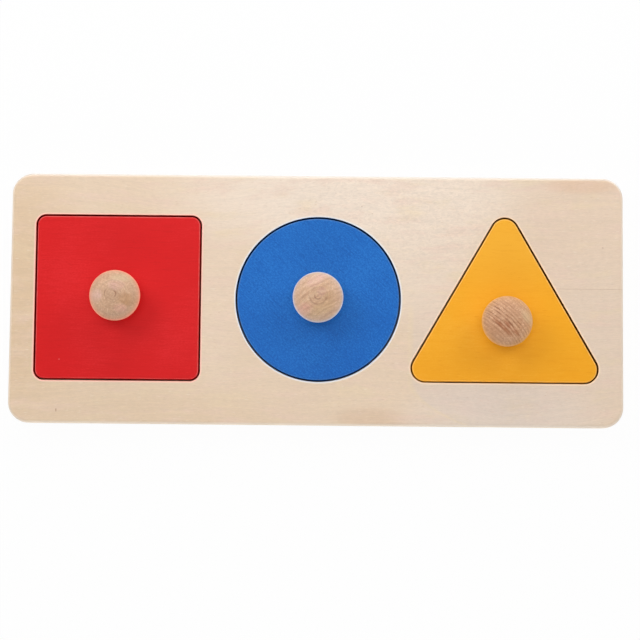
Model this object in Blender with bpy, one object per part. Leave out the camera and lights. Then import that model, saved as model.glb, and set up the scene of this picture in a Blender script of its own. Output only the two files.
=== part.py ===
# Knobbed inset puzzle: a plywood board with three recesses, each holding a painted shape that
# lifts out by a turned wooden knob. Metres, +Z up. The origin is the middle of the board's
# underside, +X runs from the square to the triangle, and the triangle points along +Y.

import math

import bmesh
import bpy

# Board: a thin base panel under a face panel with the three cut-outs
BASE_THICKNESS = 0.003
SHEET_THICKNESS = 0.0087          # face panel and inlays are cut from sheets of one thickness
BOARD_CORNER_RADIUS = 0.010
BOARD_TOP_EDGE_RADIUS = 0.002
BOARD_UNDERSIDE_EDGE_RADIUS = 0.001
END_MARGIN = 0.012                # wood between a board end and the nearest recess
FRONT_MARGIN = 0.02055            # wood between the front edge and the row of recesses
BACK_MARGIN = 0.01995             # wood between the back edge and the row of recesses
SQUARE_DISC_WEB = 0.01665         # least wood between the square and the round recess
DISC_TRIANGLE_WEB = 0.0141        # least wood between the round recess and the triangle's side

# Recesses, measured at their walls
SQUARE_SIDE = 0.080
SQUARE_CORNER_RADIUS = 0.005
DISC_DIAMETER = 0.0795
TRIANGLE_HEIGHT = 0.080           # from the base to the top of the rounded apex
TRIANGLE_CORNER_RADIUS = 0.0071
TRIANGLE_SET_BACK = 0.0004        # how far the triangle stands behind the row's centre line
RECESS_EDGE_CHAMFER = 0.0003

# Inlays
INLAY_CLEARANCE = 0.00065         # gap all round between an inlay and its recess wall
INLAY_EDGE_RADIUS = 0.0005

# Knobs, turned from one piece each
KNOB_DIAMETER = 0.024
KNOB_HEIGHT = 0.0192
KNOB_WIDEST_HEIGHT = 0.0112       # height of the widest ring above the knob's foot
KNOB_NECK_HEIGHT = 0.004
KNOB_NECK_DIAMETER = 0.0125
KNOB_FOOT_DIAMETER = 0.0142

# Countersunk wood screws, driven from beneath each inlay into its knob
SCREW_LENGTH = 0.018
SCREW_SHANK_DIAMETER = 0.003
SCREW_HEAD_DIAMETER = 0.006
SCREW_TIP_LENGTH = 0.003
SCREW_SINK = 0.0005               # how far the head lies inside the inlay's underside
DRIVE_SPAN = 0.0034               # cross recess in the head
DRIVE_WIDTH = 0.0009
DRIVE_DEPTH = 0.0012

# Gaps and cutter overrun
SEAT_GAP = 0.0003                 # between pieces that rest on each other or hold each other
OVERRUN = 0.001                   # how far a cutter runs past the face that it opens
SAME_PLACE = 0.000001             # points nearer than this are one point

# Fineness of round shapes
CORNER_STEPS = 8
EDGE_STEPS = 3
DISC_STEPS = 96
KNOB_STEPS = 40
KNOB_CURVE_STEPS = 7
SCREW_STEPS = 24
SHARP_ANGLE = math.radians(35)

# Colours as seen, red, green and blue from 0 to 255
PLYWOOD_COLOUR = (229, 206, 180)
BASE_COLOUR = (222, 196, 164)
RED_COLOUR = (216, 41, 43)
BLUE_COLOUR = (40, 107, 188)
YELLOW_COLOUR = (243, 168, 48)
BEECH_COLOUR = (205, 170, 140)
STEEL_COLOUR = (186, 186, 184)

# Sizes that follow from those above
HALF_ANGLE = math.radians(30)     # half of a triangle corner, and the slope of its side normals
TRIANGLE_INRADIUS = (TRIANGLE_HEIGHT + TRIANGLE_CORNER_RADIUS) / 3
TRIANGLE_ARC_REACH = (TRIANGLE_INRADIUS - TRIANGLE_CORNER_RADIUS) / math.tan(HALF_ANGLE)
TRIANGLE_HALF_WIDTH = TRIANGLE_ARC_REACH + TRIANGLE_CORNER_RADIUS
ROW_DEPTH = max(SQUARE_SIDE, DISC_DIAMETER, TRIANGLE_HEIGHT)
BOARD_DEPTH = FRONT_MARGIN + ROW_DEPTH + BACK_MARGIN
ROW_Y = FRONT_MARGIN + ROW_DEPTH / 2 - BOARD_DEPTH / 2
TRIANGLE_Y = ROW_Y + TRIANGLE_SET_BACK - TRIANGLE_HEIGHT / 2 + TRIANGLE_INRADIUS
SQUARE_FROM_END = END_MARGIN + SQUARE_SIDE / 2
DISC_FROM_END = END_MARGIN + SQUARE_SIDE + SQUARE_DISC_WEB + DISC_DIAMETER / 2
DISC_TO_SIDE = DISC_DIAMETER / 2 + DISC_TRIANGLE_WEB + TRIANGLE_INRADIUS
DISC_TO_TRIANGLE = (DISC_TO_SIDE - (ROW_Y - TRIANGLE_Y) * math.sin(HALF_ANGLE)) / math.cos(HALF_ANGLE)
TRIANGLE_FROM_END = DISC_FROM_END + DISC_TO_TRIANGLE
BOARD_LENGTH = TRIANGLE_FROM_END + TRIANGLE_HALF_WIDTH + END_MARGIN
SEAT_HEIGHT = BASE_THICKNESS + SEAT_GAP
SCREW_CONE_HEIGHT = (SCREW_HEAD_DIAMETER - SCREW_SHANK_DIAMETER) / 2
SCREW_HOLE_RADIUS = SCREW_SHANK_DIAMETER / 2 + SEAT_GAP
COUNTERSINK_RADIUS = SCREW_HEAD_DIAMETER / 2 + SEAT_GAP * math.sqrt(2)
SCREW_IN_KNOB = SCREW_SINK + SCREW_LENGTH - SHEET_THICKNESS - SEAT_GAP


def clear_scene():
    for item in list(bpy.data.objects):
        bpy.data.objects.remove(item, do_unlink=True)


def linear(colour):
    # Turns a seen colour of 0 to 255 into the linear values that a shader takes.
    return [((part / 255 + 0.055) / 1.055) ** 2.4 for part in colour]


def make_material(name, colour, roughness, metallic=0.0):
    material = bpy.data.materials.new(name)
    material.use_nodes = True
    shader = material.node_tree.nodes["Principled BSDF"]
    shader.inputs["Base Color"].default_value = (*linear(colour), 1.0)
    shader.inputs["Roughness"].default_value = roughness
    shader.inputs["Metallic"].default_value = metallic
    material.diffuse_color = (*linear(colour), 1.0)
    return material


# Outlines, each a list of (x, y) points round its own centre, anticlockwise from above.
# The value grow moves the whole outline outwards, or inwards where it is negative.

def rounded_corners(arc_centres, first_angle, radius):
    turn = 2 * math.pi / len(arc_centres)
    points = []
    for corner, (x, y) in enumerate(arc_centres):
        for step in range(CORNER_STEPS + 1):
            angle = first_angle + turn * (corner + step / CORNER_STEPS)
            points.append((x + radius * math.cos(angle), y + radius * math.sin(angle)))
    return points


def rectangle_outline(length, depth, radius):
    x = length / 2 - radius
    y = depth / 2 - radius
    return rounded_corners([(x, y), (-x, y), (-x, -y), (x, -y)], 0.0, radius)


def square_outline(grow):
    side = SQUARE_SIDE + 2 * grow
    return rectangle_outline(side, side, SQUARE_CORNER_RADIUS + grow)


def disc_outline(grow):
    radius = DISC_DIAMETER / 2 + grow
    angles = [2 * math.pi * step / DISC_STEPS for step in range(DISC_STEPS)]
    return [(radius * math.cos(angle), radius * math.sin(angle)) for angle in angles]


def triangle_outline(grow):
    reach = 2 * (TRIANGLE_INRADIUS - TRIANGLE_CORNER_RADIUS)
    centres = []
    for corner in range(3):
        angle = math.pi / 2 + 2 * math.pi * corner / 3
        centres.append((reach * math.cos(angle), reach * math.sin(angle)))
    return rounded_corners(centres, HALF_ANGLE, TRIANGLE_CORNER_RADIUS + grow)


# Solids as meshes in the making

def extruded(outline, height):
    bm = bmesh.new()
    floor = bm.faces.new([bm.verts.new((x, y, 0.0)) for x, y in outline])
    result = bmesh.ops.extrude_face_region(bm, geom=[floor])
    lifted = [item for item in result["geom"] if isinstance(item, bmesh.types.BMVert)]
    bmesh.ops.translate(bm, verts=lifted, vec=(0.0, 0.0, height))
    return bm


def round_edges_at(bm, height, radius):
    # Rounds the edges that run round the solid at this height.
    level = [vert for vert in bm.verts if abs(vert.co.z - height) < SAME_PLACE]
    edges = [edge for edge in bm.edges if edge.verts[0] in level and edge.verts[1] in level]
    bmesh.ops.bevel(bm, geom=edges, offset=radius, offset_type="OFFSET", segments=EDGE_STEPS,
                    profile=0.5, affect="EDGES")


def lofted(levels):
    # Closed solid through outlines of equal point counts, given as (height, outline) from below.
    bm = bmesh.new()
    rings = []
    for height, outline in levels:
        rings.append([bm.verts.new((x, y, height)) for x, y in outline])
    for low, high in zip(rings, rings[1:]):
        for place in range(len(low)):
            after = (place + 1) % len(low)
            bm.faces.new((low[place], low[after], high[after], high[place]))
    bm.faces.new(rings[0])
    bm.faces.new(rings[-1])
    return bm


def turned(profile, steps):
    # Closed solid from (radius, height) points that start and end on the axis.
    bm = bmesh.new()
    verts = [bm.verts.new((radius, 0.0, height)) for radius, height in profile]
    edges = [bm.edges.new(pair) for pair in zip(verts, verts[1:])]
    bmesh.ops.spin(bm, geom=verts + edges, cent=(0.0, 0.0, 0.0), axis=(0.0, 0.0, 1.0),
                   angle=2 * math.pi, steps=steps, use_merge=True)
    bmesh.ops.remove_doubles(bm, verts=bm.verts, dist=SAME_PLACE)
    return bm


# Objects

def make_object(name, bm, material, parent=None, location=(0.0, 0.0, 0.0)):
    bmesh.ops.recalc_face_normals(bm, faces=bm.faces)
    mesh = bpy.data.meshes.new(name)
    bm.to_mesh(mesh)
    bm.free()
    mesh.shade_smooth()
    mesh.set_sharp_from_angle(angle=SHARP_ANGLE)
    if material:
        mesh.materials.append(material)
    item = bpy.data.objects.new(name, mesh)
    item.parent = parent
    item.location = location
    bpy.context.scene.collection.objects.link(item)
    return item


def make_cutter(name, bm, parent=None, location=(0.0, 0.0, 0.0)):
    cutter = make_object(name, bm, None, parent, location)
    cutter.hide_render = True
    cutter.display_type = "WIRE"
    return cutter


def cut(item, cutter):
    boolean = item.modifiers.new(cutter.name, "BOOLEAN")
    boolean.operation = "DIFFERENCE"
    boolean.solver = "EXACT"
    boolean.object = cutter


def make_seat(name, x, y):
    # Marks where a shape sits: on the recess floor, with its lifting and turning axis upright.
    seat = bpy.data.objects.new(name, None)
    seat.location = (x - BOARD_LENGTH / 2, y, SEAT_HEIGHT)
    bpy.context.scene.collection.objects.link(seat)
    return seat


# Board pieces

def make_base_panel():
    bm = extruded(rectangle_outline(BOARD_LENGTH, BOARD_DEPTH, BOARD_CORNER_RADIUS), BASE_THICKNESS)
    round_edges_at(bm, 0.0, BOARD_UNDERSIDE_EDGE_RADIUS)
    return make_object("base_panel", bm, make_material("base_plywood", BASE_COLOUR, 0.6))


def make_face_panel(recesses):
    bm = extruded(rectangle_outline(BOARD_LENGTH, BOARD_DEPTH, BOARD_CORNER_RADIUS), SHEET_THICKNESS)
    round_edges_at(bm, SHEET_THICKNESS, BOARD_TOP_EDGE_RADIUS)
    material = make_material("face_plywood", PLYWOOD_COLOUR, 0.55)
    panel = make_object("face_panel", bm, material, location=(0.0, 0.0, SEAT_HEIGHT))
    for name, outline, seat in recesses:
        cut(panel, make_recess_cutter(name, outline, seat))


def make_recess_cutter(name, outline, seat):
    # Straight up through the sheet, then opening at 45 degrees to chamfer the upper edge.
    levels = [(-OVERRUN, outline(0.0)),
              (SHEET_THICKNESS - RECESS_EDGE_CHAMFER, outline(0.0)),
              (SHEET_THICKNESS + OVERRUN, outline(RECESS_EDGE_CHAMFER + OVERRUN))]
    return make_cutter(name + "_recess_cutter", lofted(levels), seat)


# Pieces of each removable shape

def make_inlay(name, outline, seat, colour):
    bm = extruded(outline(-INLAY_CLEARANCE), SHEET_THICKNESS)
    round_edges_at(bm, SHEET_THICKNESS, INLAY_EDGE_RADIUS)
    round_edges_at(bm, 0.0, INLAY_EDGE_RADIUS)
    inlay = make_object(name + "_inlay", bm, make_material(name + "_paint", colour, 0.45), seat)
    cut(inlay, make_cutter(name + "_screw_hole_cutter", turned(screw_hole_profile(), SCREW_STEPS), seat))


def screw_hole_profile():
    # Clearance hole with a countersink at the inlay's underside, both running past its faces.
    return [(0.0, -OVERRUN),
            (COUNTERSINK_RADIUS, -OVERRUN),
            (COUNTERSINK_RADIUS, SCREW_SINK),
            (SCREW_HOLE_RADIUS, SCREW_SINK + COUNTERSINK_RADIUS - SCREW_HOLE_RADIUS),
            (SCREW_HOLE_RADIUS, SHEET_THICKNESS + OVERRUN),
            (0.0, SHEET_THICKNESS + OVERRUN)]


def knob_profile():
    # From the blind end of the screw bore, down the bore, out along the foot, up the waisted
    # neck and round the ball-shaped head to the top.
    bore_depth = SCREW_IN_KNOB + SEAT_GAP
    points = [(0.0, bore_depth), (SCREW_HOLE_RADIUS, bore_depth), (SCREW_HOLE_RADIUS, 0.0)]
    foot = KNOB_FOOT_DIAMETER / 2
    neck = KNOB_NECK_DIAMETER / 2
    widest = KNOB_DIAMETER / 2
    for step in range(KNOB_CURVE_STEPS):
        share = step / KNOB_CURVE_STEPS
        points.append((neck + (foot - neck) * (1 - share) ** 2, KNOB_NECK_HEIGHT * share))
    lower = KNOB_WIDEST_HEIGHT - KNOB_NECK_HEIGHT
    for step in range(KNOB_CURVE_STEPS):
        angle = math.pi / 2 * step / KNOB_CURVE_STEPS
        points.append((neck + (widest - neck) * math.sin(angle),
                       KNOB_WIDEST_HEIGHT - lower * math.cos(angle)))
    upper = KNOB_HEIGHT - KNOB_WIDEST_HEIGHT
    for step in range(KNOB_CURVE_STEPS + 1):
        angle = math.pi / 2 * step / KNOB_CURVE_STEPS
        radius = widest * math.cos(angle) if step < KNOB_CURVE_STEPS else 0.0
        points.append((radius, KNOB_WIDEST_HEIGHT + upper * math.sin(angle)))
    return points


def make_knob(name, seat):
    material = make_material(name + "_knob_beech", BEECH_COLOUR, 0.5)
    place = (0.0, 0.0, SHEET_THICKNESS + SEAT_GAP)
    make_object(name + "_knob", turned(knob_profile(), KNOB_STEPS), material, seat, place)


def screw_profile():
    # From the middle of the head's flat face, along the cone and the shank to the point.
    shank = SCREW_SHANK_DIAMETER / 2
    return [(0.0, 0.0),
            (SCREW_HEAD_DIAMETER / 2, 0.0),
            (shank, SCREW_CONE_HEIGHT),
            (shank, SCREW_LENGTH - SCREW_TIP_LENGTH),
            (0.0, SCREW_LENGTH)]


def cross_outline(span, width):
    # Plus sign of twelve corners.
    long = span / 2
    short = width / 2
    arm = [(long, -short), (long, short), (short, short)]
    points = []
    for quarter in range(4):
        cosine = math.cos(quarter * math.pi / 2)
        sine = math.sin(quarter * math.pi / 2)
        points += [(x * cosine - y * sine, x * sine + y * cosine) for x, y in arm]
    return points


def make_screw(name, seat):
    material = make_material(name + "_screw_steel", STEEL_COLOUR, 0.35, metallic=1.0)
    place = (0.0, 0.0, SCREW_SINK)
    screw = make_object(name + "_knob_screw", turned(screw_profile(), SCREW_STEPS), material, seat, place)
    levels = [(-OVERRUN, cross_outline(DRIVE_SPAN, DRIVE_WIDTH)),
              (DRIVE_DEPTH, cross_outline(DRIVE_SPAN / 2, DRIVE_WIDTH / 2))]
    cut(screw, make_cutter(name + "_drive_cutter", lofted(levels), seat, place))


def main():
    clear_scene()
    square_seat = make_seat("square_seat", SQUARE_FROM_END, ROW_Y)
    disc_seat = make_seat("disc_seat", DISC_FROM_END, ROW_Y)
    triangle_seat = make_seat("triangle_seat", TRIANGLE_FROM_END, TRIANGLE_Y)
    shapes = [("square", square_outline, square_seat, RED_COLOUR),
              ("disc", disc_outline, disc_seat, BLUE_COLOUR),
              ("triangle", triangle_outline, triangle_seat, YELLOW_COLOUR)]
    make_base_panel()
    make_face_panel([(name, outline, seat) for name, outline, seat, colour in shapes])
    for name, outline, seat, colour in shapes:
        make_inlay(name, outline, seat, colour)
        make_knob(name, seat)
        make_screw(name, seat)


main()
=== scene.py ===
import math

import bmesh
import bpy
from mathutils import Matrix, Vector


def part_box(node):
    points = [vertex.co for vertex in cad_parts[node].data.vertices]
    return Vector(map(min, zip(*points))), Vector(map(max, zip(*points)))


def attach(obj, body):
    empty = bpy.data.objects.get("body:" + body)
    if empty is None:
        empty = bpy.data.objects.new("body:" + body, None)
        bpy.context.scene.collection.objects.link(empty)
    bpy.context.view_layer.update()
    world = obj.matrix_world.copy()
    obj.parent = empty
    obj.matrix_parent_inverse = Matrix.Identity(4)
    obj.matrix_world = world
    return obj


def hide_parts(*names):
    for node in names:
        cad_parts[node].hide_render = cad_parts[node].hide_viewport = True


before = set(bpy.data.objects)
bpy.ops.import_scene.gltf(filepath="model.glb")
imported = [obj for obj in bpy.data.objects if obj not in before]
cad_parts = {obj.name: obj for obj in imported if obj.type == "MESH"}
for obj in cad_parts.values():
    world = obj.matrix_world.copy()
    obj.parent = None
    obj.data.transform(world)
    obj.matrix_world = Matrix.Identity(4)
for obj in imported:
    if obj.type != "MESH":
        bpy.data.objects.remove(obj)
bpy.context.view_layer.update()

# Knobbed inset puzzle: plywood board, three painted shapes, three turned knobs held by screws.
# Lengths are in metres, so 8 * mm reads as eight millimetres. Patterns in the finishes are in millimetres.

mm = 0.001
same = 0.00002        # points closer than this count as one place
postSteps = 72        # sides of the posts that make the round corners
boardLow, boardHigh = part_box("base_panel")[0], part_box("face_panel")[1]
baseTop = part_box("base_panel")[1].z


# Working in edit mode

def deselectAll():
    if bpy.context.object and bpy.context.object.mode == "EDIT":
        bpy.ops.object.mode_set(mode="OBJECT")
    bpy.ops.object.select_all(action="DESELECT")


def startPiece(name):
    # The primitive just added becomes a piece whose place is in its mesh
    piece = bpy.context.object
    piece.name = name
    piece.data.name = name
    bpy.ops.object.transform_apply(location=True, rotation=True, scale=True)
    return piece


def startEditing(piece):
    deselectAll()
    piece.select_set(True)
    bpy.context.view_layer.objects.active = piece
    bpy.ops.object.mode_set(mode="EDIT")
    bpy.ops.mesh.select_all(action="DESELECT")


def stopEditing():
    bpy.ops.object.mode_set(mode="OBJECT")


def pick(piece, kind, test):
    # Selects the verts, edges or faces of the piece that pass the test, and nothing else
    bpy.ops.mesh.select_mode(type=kind)
    bpy.ops.mesh.select_all(action="DESELECT")
    mesh = bmesh.from_edit_mesh(piece.data)
    mesh.normal_update()
    for item in {"VERT": mesh.verts, "EDGE": mesh.edges, "FACE": mesh.faces}[kind]:
        if test(item):
            item.select_set(True)
    bmesh.update_edit_mesh(piece.data)


def sharpRim(height):
    # Test for the sharp edges that run round at this height
    def test(edge):
        level = all(abs(vert.co.z - height) < same for vert in edge.verts)
        return level and len(edge.link_faces) == 2 and edge.calc_face_angle(0) > 1
    return test


def bevelRim(piece, height, offset, segments):
    pick(piece, "EDGE", sharpRim(height))
    bpy.ops.mesh.bevel(offset=offset, segments=segments, affect="EDGES")


def applyModifier(piece, kind, **settings):
    deselectAll()
    piece.select_set(True)
    bpy.context.view_layer.objects.active = piece
    modifier = piece.modifiers.new(kind.title(), kind)
    for key, value in settings.items():
        setattr(modifier, key, value)
    bpy.ops.object.modifier_apply(modifier=modifier.name)


def carve(piece, cutter):
    # Takes the cutter's shape out of the piece, then throws the cutter away
    applyModifier(piece, "BOOLEAN", operation="DIFFERENCE", solver="EXACT", object=cutter)
    bpy.data.objects.remove(cutter)


def turnFacesOut(piece):
    startEditing(piece)
    bpy.ops.mesh.select_all(action="SELECT")
    bpy.ops.mesh.normals_make_consistent(inside=False)
    stopEditing()


def finishShape(piece, sharpAngle=40):
    # Closes the mesh, turns its faces out and smooths its curves while flats stay flat
    startEditing(piece)
    bpy.ops.mesh.select_all(action="SELECT")
    bpy.ops.mesh.remove_doubles(threshold=same / 10)
    bpy.ops.mesh.normals_make_consistent(inside=False)
    stopEditing()
    bpy.ops.object.shade_smooth_by_angle(angle=math.radians(sharpAngle))
    applyModifier(piece, "WEIGHTED_NORMAL", keep_sharp=True, weight=60)


def copyPiece(piece, name, offset):
    deselectAll()
    piece.select_set(True)
    bpy.context.view_layer.objects.active = piece
    bpy.ops.object.duplicate(linked=False)
    bpy.context.object.location = offset
    return startPiece(name)


def dress(piece, body, node, slot, *finishes):
    # Puts the piece on its body in place of its CAD node, with its finishes
    while len(piece.data.materials) < len(finishes):
        piece.data.materials.append(None)
    for place, finish in enumerate(finishes):
        piece.data.materials[place] = finish
    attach(piece, body)
    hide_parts(node)


def addRoundedBlock(name, corners, radius, bottom, top):
    # Upright posts at the corners, wrapped into one block with round corners
    deselectAll()
    for x, y in corners:
        bpy.ops.mesh.primitive_cylinder_add(vertices=postSteps, radius=radius, depth=top - bottom,
                                            location=(x, y, (bottom + top) / 2))
        if bpy.context.object.mode == "OBJECT":
            bpy.ops.object.mode_set(mode="EDIT")
    bpy.ops.mesh.select_all(action="SELECT")
    bpy.ops.mesh.convex_hull()
    bpy.ops.mesh.select_all(action="SELECT")
    bpy.ops.mesh.dissolve_limited(angle_limit=math.radians(1))
    bpy.ops.mesh.normals_make_consistent(inside=False)
    stopEditing()
    return startPiece(name)


def addTurned(name, x, y, profile, steps):
    # A round piece drawn out of one disc, ring after ring, up to a closed tip
    deselectAll()
    radius, height = profile[0]
    bpy.ops.mesh.primitive_circle_add(vertices=steps, radius=radius, fill_type="NGON", location=(x, y, height))
    piece = startPiece(name)
    startEditing(piece)
    bpy.ops.mesh.select_all(action="SELECT")
    for (radius, height), (nextRadius, nextHeight) in zip(profile, profile[1:]):
        bpy.ops.mesh.extrude_region_move(TRANSFORM_OT_translate={"value": (0, 0, nextHeight - height)})
        if nextRadius > 0:
            scale = nextRadius / radius
            bpy.ops.transform.resize(value=(scale, scale, 1), center_override=(x, y, nextHeight))
        else:
            bpy.ops.mesh.merge(type="CENTER")
    stopEditing()
    return piece


# The three shapes. Grow moves a shape's outline outwards, as from the inlay to its recess

shapes = {
    "square": {"cornerRadius": 4.35 * mm, "body": "square_piece", "screwBody": "square_piece"},
    "disc": {"steps": 216, "body": "disc_piece", "screwBody": "disc_carrier"},
    "triangle": {"cornerRadius": 6.45 * mm, "body": "triangle_piece", "screwBody": "triangle_piece",
                 "frontShift": 0.15 * mm},      # narrows the gap along the inlay's front edge
}


def knobCentre(shape):
    low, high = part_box(shape + "_knob")
    return (low + high) / 2


def onePerShape(master, ending):
    # The square's piece as it is, and a copy of it at each of the other shapes
    for shape in shapes:
        offset = knobCentre(shape) - knobCentre("square")
        place = (offset.x, offset.y, 0)
        yield shape, master if shape == "square" else copyPiece(master, shape + ending, place)


def addShapeBlock(name, shape, grow, bottom, top):
    low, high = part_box(shape + "_inlay")
    centre = knobCentre(shape)
    if shape == "disc":
        deselectAll()
        bpy.ops.mesh.primitive_cylinder_add(
            vertices=shapes[shape]["steps"], radius=(high.x - low.x) / 2 + grow, depth=top - bottom,
            location=(centre.x, centre.y, (bottom + top) / 2))
        return startPiece(name)
    radius = shapes[shape]["cornerRadius"]
    if shape == "square":
        reach = ((high.x - low.x) / 2 - radius) * math.sqrt(2)
        angles = [45, 135, 225, 315]
    else:
        reach = 2 * ((high.y - low.y + radius) / 3 - radius)
        angles = [90, 210, 330]
    corners = [(centre.x + reach * math.cos(math.radians(angle)),
                centre.y + reach * math.sin(math.radians(angle))) for angle in angles]
    if shape == "triangle" and grow == 0:
        corners[1:] = [(x, y - shapes[shape]["frontShift"]) for x, y in corners[1:]]
    return addRoundedBlock(name, corners, radius + grow, bottom, top)


# Finishes

class Socket:
    # One output of a node, so that shader sums read as plain Python
    def __init__(self, nodes, output):
        self.nodes = nodes
        self.output = output

    def sum(self, operation, first, second=0.0):
        return self.nodes.node("ShaderNodeMath", {"operation": operation}, {0: first, 1: second})

    def __add__(self, other):
        return self.sum("ADD", self, other)

    def __radd__(self, other):
        return self.sum("ADD", other, self)

    def __sub__(self, other):
        return self.sum("SUBTRACT", self, other)

    def __rsub__(self, other):
        return self.sum("SUBTRACT", other, self)

    def __mul__(self, other):
        return self.sum("MULTIPLY", self, other)

    def __truediv__(self, other):
        return self.sum("DIVIDE", self, other)

    def __pow__(self, other):
        return self.sum("POWER", self, other)

    def __or__(self, other):
        # The larger of two masks
        return self.sum("MAXIMUM", self, other)

    def __abs__(self):
        return self.sum("ABSOLUTE", self)


class Nodes:
    # A node tree in the making
    def __init__(self, tree):
        self.tree = tree

    def node(self, kind, settings=None, values=None, output=0):
        made = self.tree.nodes.new(kind)
        for key, value in (settings or {}).items():
            setattr(made, key, value)
        for key, value in (values or {}).items():
            self.feed(made.inputs[key], value)
        return Socket(self, made.outputs[output])

    def feed(self, target, value):
        if isinstance(value, Socket):
            self.tree.links.new(value.output, target)
        else:
            target.default_value = value

    def everyOutput(self, socket):
        return [Socket(self, output) for output in socket.output.node.outputs]

    def place(self):
        # Where a point of the piece is, in millimetres
        point = self.node("ShaderNodeTexCoord", output="Object")
        point = self.node("ShaderNodeVectorMath", {"operation": "SCALE"}, {0: point, "Scale": 1 / mm})
        return self.everyOutput(self.node("ShaderNodeSeparateXYZ", {}, {0: point}))

    def facing(self):
        # Which way the surface faces: along x, along y and upwards, each from -1 to 1
        normal = self.node("ShaderNodeTexCoord", output="Normal")
        return self.everyOutput(self.node("ShaderNodeSeparateXYZ", {}, {0: normal}))

    def vector(self, x, y, z=0.0):
        return self.node("ShaderNodeCombineXYZ", {}, {0: x, 1: y, 2: z})

    def noise(self, x, y, z=0.0, detail=2.0, rough=0.5, swirl=0.0):
        # From 0 to 1, most often near a half
        return self.node("ShaderNodeTexNoise", {}, {"Vector": self.vector(x, y, z), "Scale": 1.0,
                                                    "Detail": detail, "Roughness": rough, "Distortion": swirl})

    def ramp(self, value, low, high):
        # 0 at low, 1 at high and smooth between
        return self.node("ShaderNodeMapRange", {"interpolation_type": "SMOOTHSTEP"},
                         {"Value": value, "From Min": low, "From Max": high})

    def spot(self, x, y, centre, reach):
        # 1 at the centre of an oval, fading to 0 at its rim
        share = ((x - centre[0]) / reach[0]) ** 2 + ((y - centre[1]) / reach[1]) ** 2
        return self.ramp(share, 1.0, 0.0)

    def line(self, value, width):
        # 1 where the value passes through zero, for a thin line of this width
        return self.ramp(abs(value), width, width * 0.3)

    def blend(self, first, second, share, how="MIX"):
        return self.node("ShaderNodeMix", {"data_type": "RGBA", "blend_type": how},
                         {0: share, 6: first, 7: second}, output=2)

    def shade(self, colour, amount):
        # Makes a colour lighter or darker by a factor near 1
        return self.blend(colour, self.vector(amount, amount, amount), 1.0, "MULTIPLY")

    def bump(self, height, strength, distance):
        return self.node("ShaderNodeBump", {}, {"Height": height, "Strength": strength, "Distance": distance})


class Finish(Nodes):
    # A material in the making
    def __init__(self, name, **constants):
        self.material = bpy.data.materials.new(name)
        self.material.use_nodes = True
        Nodes.__init__(self, self.material.node_tree)
        self.shader = self.tree.nodes["Principled BSDF"]
        for key, value in constants.items():
            self.shader.inputs[key.replace("_", " ")].default_value = value

    def done(self, colour, roughness, normal):
        self.feed(self.shader.inputs["Base Color"], colour)
        self.feed(self.shader.inputs["Roughness"], roughness)
        self.feed(self.shader.inputs["Normal"], normal)
        return self.material


def seen(red, green, blue):
    # A colour as it looks, each part 0 to 255, turned into what a shader takes
    return (*[((part / 255 + 0.055) / 1.055) ** 2.4 for part in (red, green, blue)], 1.0)


def turned(x, y, degrees):
    # Distances along and across a direction
    cos, sin = math.cos(math.radians(degrees)), math.sin(math.radians(degrees))
    return x * cos + y * sin, y * cos - x * sin


# Plywood, as the edges and the bare faces show it: glue lines, and fibres that turn with every ply

plywood = {
    "long": seen(239, 221, 197),
    "cross": seen(230, 208, 180),
    "endGrain": seen(210, 180, 146),
    "pores": seen(178, 142, 108),
    "glue": seen(150, 116, 86),
    "bareDark": seen(216, 187, 152),
    "barePale": seen(229, 207, 178),
    "bareFlecks": seen(190, 152, 116),
    "glueWidth": 0.11,
    "plyBlur": 0.02,             # how far one ply's colour runs into the next
    "faceGlue": [3.0, 3.85, 5.33, 6.81, 8.29, 9.77, 11.2],    # heights of the glue lines
    "baseGlue": [0.8, 2.2, 3.0],
}


def plyEdge(finish, x, y, z, glueHeights):
    # Colour and relief of cut plywood, with its plies between the glue heights
    toX, toY, toZ = finish.facing()
    blur = plywood["plyBlur"]
    glue = 0.0
    for height in glueHeights:
        glue = finish.line(z - height, plywood["glueWidth"]) | glue
    cross = 0.0
    for low, high in zip(glueHeights[::2], glueHeights[1::2]):
        cross = finish.ramp(z, low - blur, low + blur) - finish.ramp(z, high - blur, high + blur) | cross
    wave = (finish.noise(x * 0.03, y * 0.03, z * 0.4, detail=1) - 0.5) * 3
    longFibre = finish.noise(x * 0.05, y * 1.7 + wave, z * 2.2 + wave, detail=4, rough=0.62)
    crossFibre = finish.noise(x * 1.7 + wave, y * 0.05, z * 2.2, detail=4, rough=0.62)
    fibre = finish.blend(longFibre, crossFibre, cross)
    endOfLong = finish.ramp(abs(toX), 0.35, 0.95) * (1 - cross)
    endOfCross = finish.ramp(abs(toY), 0.35, 0.95) * cross
    ends = endOfLong | endOfCross
    pores = finish.ramp(finish.noise(x * 3.4, y * 3.4, z * 3.4, detail=1), 0.6, 0.72) * ends
    colour = finish.blend(plywood["long"], plywood["cross"], cross)
    colour = finish.blend(colour, plywood["endGrain"], ends * 0.65)
    colour = finish.shade(colour, finish.ramp(fibre, 0.2, 0.8) * 0.16 + 0.92)
    colour = finish.blend(colour, plywood["pores"], pores * 0.5)
    colour = finish.blend(colour, plywood["glue"], glue * (0.7 - finish.ramp(toZ, 0.1, 0.4) * 0.5))
    return colour, fibre - glue * 0.5


# Board: two plywood panels glued into one

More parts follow.
